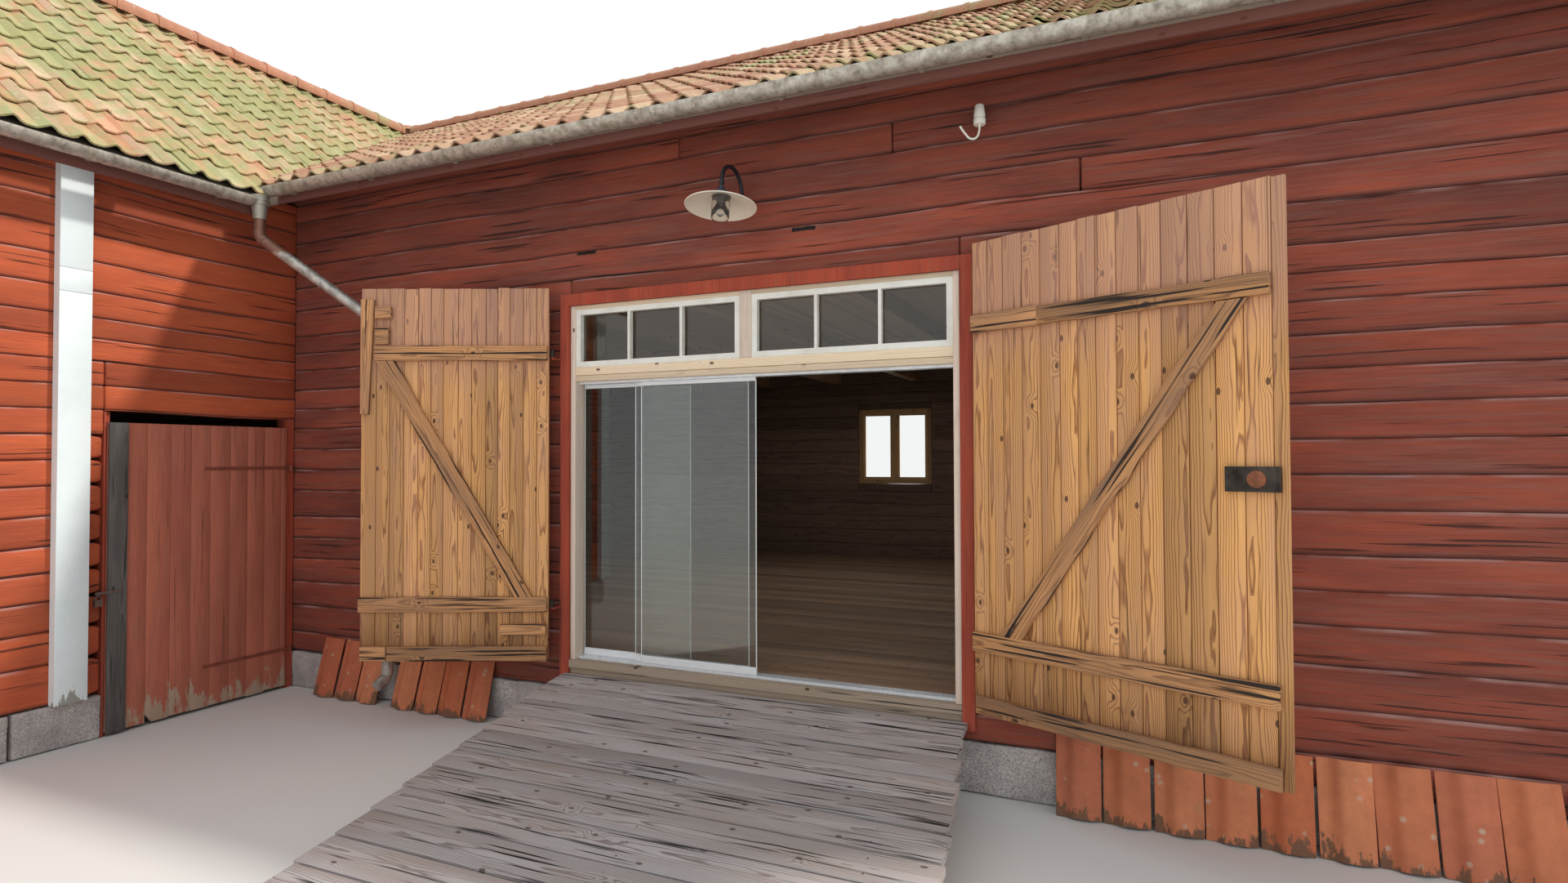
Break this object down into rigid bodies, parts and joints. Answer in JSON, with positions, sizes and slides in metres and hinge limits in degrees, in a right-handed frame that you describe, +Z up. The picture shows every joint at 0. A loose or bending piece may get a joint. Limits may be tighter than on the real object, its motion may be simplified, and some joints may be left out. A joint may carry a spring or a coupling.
{
  "type": "log barn with a wing",
  "caption": "L-shaped log barn on a stone plinth with pantiled roofs, a double-leaved doorway with sliding glass behind, a plank ramp and a boarded wing door.",
  "frame": {"origin": "on the ground under the middle of the doorway, in the plane of the front wall's outer face", "axes": "+X to the right along the front wall, +Y into the building, +Z up"},
  "size_m": [15.4214, 12.6577, 6.974],
  "materials": {
    "stone": "rough hewn granite",
    "red_logs": "weathered red distemper on hewn logs",
    "red_boards": "weathered red paint on boards",
    "inside_wood": "bare boards",
    "clay_tiles": "clay pantiles with moss",
    "grey_wood": "silver grey weathered wood",
    "zinc": "dull galvanised sheet",
    "pale_wood": "planed pale wood",
    "white_paint": "white paint",
    "window_glass": "clear glass",
    "aluminium": "white coated profile",
    "door_wood": "honey brown oiled boards",
    "iron": "rusty forged iron"
  },
  "bodies": {
    "building": {"plinth": "stone", "floor": "inside_wood", "ceiling": "inside_wood", "front_wall_left": "red_logs", "front_wall_right": "red_logs", "front_wall_over_door": "red_logs", "right_gable_wall": "red_logs", "back_wall": "red_logs", "left_wall": "red_logs", "wing_wall": "red_logs", "wing_wall_over_door": "red_logs", "wing_gable_wall": "red_logs", "roof_main_front": "clay_tiles", "roof_main_back": "clay_tiles", "roof_wing_right": "clay_tiles", "roof_wing_left": "clay_tiles", "ridge_tiles": "clay_tiles", "rafters": "red_boards", "eaves_boards": "grey_wood", "gutters": "zinc", "downpipe": "zinc", "door_casing": "red_boards", "door_frame": "pale_wood", "threshold": "grey_wood", "transom_sashes": "white_paint", "transom_glass": "window_glass", "glass_tracks": "aluminium", "glass_panel_fixed": "window_glass", "wing_door_frame": "red_boards", "corner_boxes": "white_paint", "ramp": "grey_wood", "tile_skirt": "clay_tiles", "lamp": "iron", "insulator": "white_paint", "back_window_frame": "pale_wood"},
    "left_leaf": {"left_leaf_boards": "door_wood", "left_leaf_ledges": "door_wood", "left_leaf_irons": "iron"},
    "right_leaf": {"right_leaf_boards": "door_wood", "right_leaf_ledges": "door_wood", "right_leaf_irons": "iron"},
    "wing_door": {"wing_door_boards": "red_boards", "wing_door_irons": "iron"},
    "middle_panel": {"glass_panel_middle": "window_glass"},
    "lead_panel": {"glass_panel_lead": "window_glass"}
  },
  "joints": [
    {"name": "left_leaf_hinge", "type": "hinge", "parent": "building", "child": "left_leaf", "pos_m": [-1.61, -0.0995, 1], "axis": [0, 0, 1], "range_deg": [-15, 156.5]},
    {"name": "right_leaf_hinge", "type": "hinge", "parent": "building", "child": "right_leaf", "pos_m": [1.61, -0.0995, 1], "axis": [0, 0, -1], "range_deg": [-15, 156.5]},
    {"name": "wing_door_hinge", "type": "hinge", "parent": "building", "child": "wing_door", "pos_m": [-4.657, -0.045, 1], "axis": [0, 0, 1], "range_deg": [0, 75]},
    {"name": "middle_panel_slide", "type": "slide", "parent": "building", "child": "middle_panel", "axis": [1, 0, 0], "range_m": [-0.488, 0.49]},
    {"name": "lead_panel_slide", "type": "slide", "parent": "building", "child": "lead_panel", "axis": [1, 0, 0], "range_m": [-0.558, 1.398]}
  ]
}
